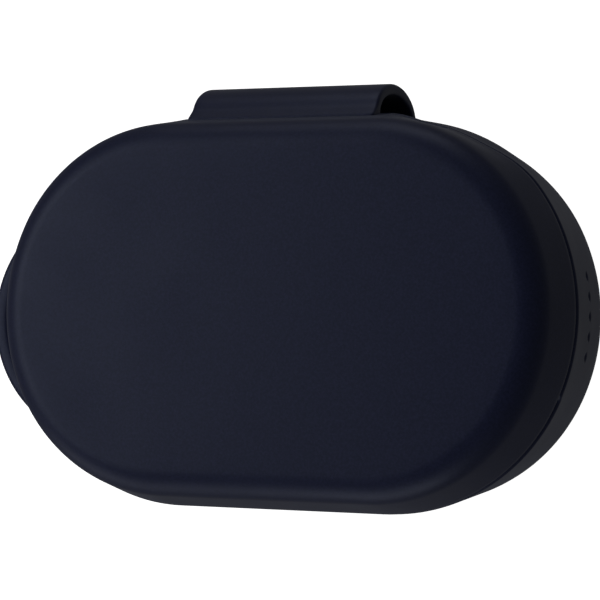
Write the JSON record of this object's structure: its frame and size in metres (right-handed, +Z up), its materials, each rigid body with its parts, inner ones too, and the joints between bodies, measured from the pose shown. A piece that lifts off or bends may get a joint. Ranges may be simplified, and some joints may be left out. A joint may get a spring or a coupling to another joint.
{
  "type": "wireless earbuds case",
  "caption": "Racetrack-shaped charging case for wireless earbuds inside a soft protective sleeve, with a hinged lid, a hollow hinge strap and a lanyard loop.",
  "frame": {"origin": "middle of the flat underside of the lower sleeve, under the centre of the case's outline", "axes": "+Z up through the lid, +X along the long axis away from the lanyard loop, +Y towards the hinge"},
  "size_m": [0.0718, 0.0467, 0.0302],
  "materials": {
    "silicone": "soft-touch matte silicone, navy black",
    "case_plastic": "satin black hard plastic",
    "tray_plastic": "fine-textured black moulding",
    "hinge_steel": "brushed",
    "pin_steel": "ground",
    "contact_plastic": "glass-filled moulding",
    "contact_gold": "gold plate",
    "spring_steel": "drawn wire",
    "battery_foil": "laminated pouch foil",
    "foam_tape": "foam",
    "lead_insulation": "insulated lead",
    "board_laminate": "solder mask",
    "chip_resin": "moulded package",
    "port_steel": "nickel-plated socket",
    "switch_metal": "stamped can",
    "button_plastic": "satin cap",
    "led_resin": "clear-topped package",
    "light_pipe_clear": "clear light guide",
    "flex_film": "amber film",
    "magnet_nickel": "nickel-plated",
    "screw_steel": "black oxide"
  },
  "bodies": {
    "base": {"sleeve_base": "silicone", "hinge_strap": "silicone", "base_shell": "case_plastic", "tray": "tray_plastic", "hinge_base_leaf": "hinge_steel", "hinge_pin": "pin_steel", "contact_block_left": "contact_plastic", "contact_block_right": "contact_plastic", "battery_cell": "battery_foil", "battery_tape": "foam_tape", "battery_leads": "lead_insulation", "main_board": "board_laminate", "board_chips": "chip_resin", "port_shell": "port_steel", "port_tongue": "contact_plastic", "deck_board": "board_laminate", "setup_switch": "switch_metal", "status_led": "led_resin", "light_pipe": "light_pipe_clear", "lid_sensor": "chip_resin", "deck_flex": "flex_film", "base_magnets": "magnet_nickel", "earbud_magnets": "magnet_nickel", "tray_screws": "screw_steel", "board_screws": "screw_steel", "contact_spring_left_outer": "spring_steel", "contact_spring_left_inner": "spring_steel", "contact_spring_right_outer": "spring_steel", "contact_spring_right_inner": "spring_steel"},
    "lid": {"sleeve_lid": "silicone", "lid_shell": "case_plastic", "lid_liner": "tray_plastic", "hinge_lid_leaf": "hinge_steel", "lid_magnets": "magnet_nickel"},
    "setup_button": {"setup_button": "button_plastic"},
    "contact_pin_left_outer": {"contact_pin_left_outer": "contact_gold"},
    "contact_pin_left_inner": {"contact_pin_left_inner": "contact_gold"},
    "contact_pin_right_outer": {"contact_pin_right_outer": "contact_gold"},
    "contact_pin_right_inner": {"contact_pin_right_inner": "contact_gold"}
  },
  "joints": [
    {"name": "lid_hinge", "type": "hinge", "parent": "base", "child": "lid", "pos_m": [0, 0.0205, 0.0218], "axis": [-1, 0, 0], "range_deg": [0, 90], "deforming": ["hinge_strap"]},
    {"name": "setup_button_press", "type": "slide", "parent": "base", "child": "setup_button", "axis": [0, 0, -1], "range_m": [0, 0.00025], "stiffness_N_per_m": 1500, "springref_m": -0.0001},
    {"name": "contact_left_outer_press", "type": "slide", "parent": "base", "child": "contact_pin_left_outer", "axis": [0, 0, -1], "range_m": [0, 0.0006], "stiffness_N_per_m": 300, "springref_m": -0.0002, "deforming": ["contact_spring_left_outer"]},
    {"name": "contact_left_inner_press", "type": "slide", "parent": "base", "child": "contact_pin_left_inner", "axis": [0, 0, -1], "range_m": [0, 0.0006], "stiffness_N_per_m": 300, "springref_m": -0.0002, "deforming": ["contact_spring_left_inner"]},
    {"name": "contact_right_outer_press", "type": "slide", "parent": "base", "child": "contact_pin_right_outer", "axis": [0, 0, -1], "range_m": [0, 0.0006], "stiffness_N_per_m": 300, "springref_m": -0.0002, "deforming": ["contact_spring_right_outer"]},
    {"name": "contact_right_inner_press", "type": "slide", "parent": "base", "child": "contact_pin_right_inner", "axis": [0, 0, -1], "range_m": [0, 0.0006], "stiffness_N_per_m": 300, "springref_m": -0.0002, "deforming": ["contact_spring_right_inner"]}
  ]
}
